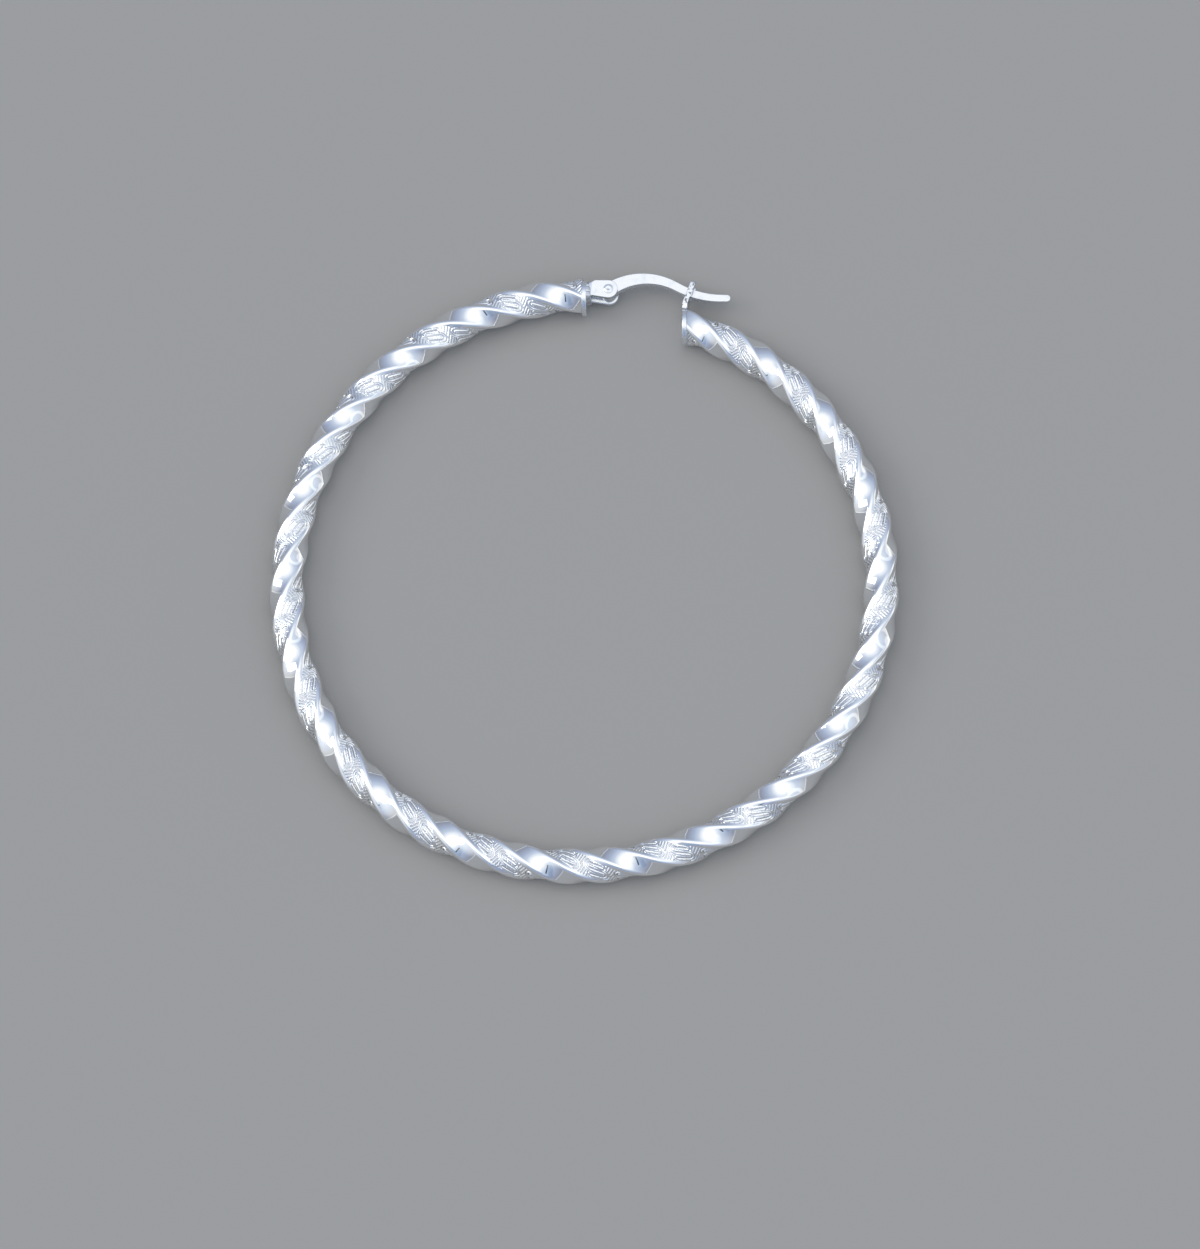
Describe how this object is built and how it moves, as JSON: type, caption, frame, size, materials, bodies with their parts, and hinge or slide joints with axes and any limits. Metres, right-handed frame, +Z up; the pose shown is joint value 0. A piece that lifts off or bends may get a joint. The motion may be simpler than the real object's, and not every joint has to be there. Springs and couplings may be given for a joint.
{
  "type": "twisted hoop earring",
  "caption": "Hinged creole hoop earring of hollow twisted square tube, with an arched ear wire riveted at one end and a bent, forked catch at the other; it lies flat.",
  "frame": {"origin": "on the surface that the earring lies on, under the middle of its bounding box", "axes": "+Z up through the flat-lying hoop; +Y from the middle of the hoop out through the gap at its top; +X along that gap, from the hinge to the catch"},
  "size_m": [0.055, 0.0557, 0.0032],
  "materials": {
    "polished_silver": "mirror polished plain flats and edges, engraved scrolls and beaded lines on the other two flats",
    "satin_silver": "satin, with faint file marks"
  },
  "bodies": {
    "hoop": {"hoop_tube": "polished_silver", "hinge_fitting": "satin_silver", "hinge_rivet": "satin_silver", "catch_plate": "satin_silver"},
    "wire": {"ear_wire": "satin_silver"}
  },
  "joints": [
    {"name": "ear_wire_hinge", "type": "hinge", "parent": "hoop", "child": "wire", "pos_m": [0.00153, 0.02611, 0.0016], "axis": [0, 0, 1], "range_deg": [0, 90]}
  ]
}
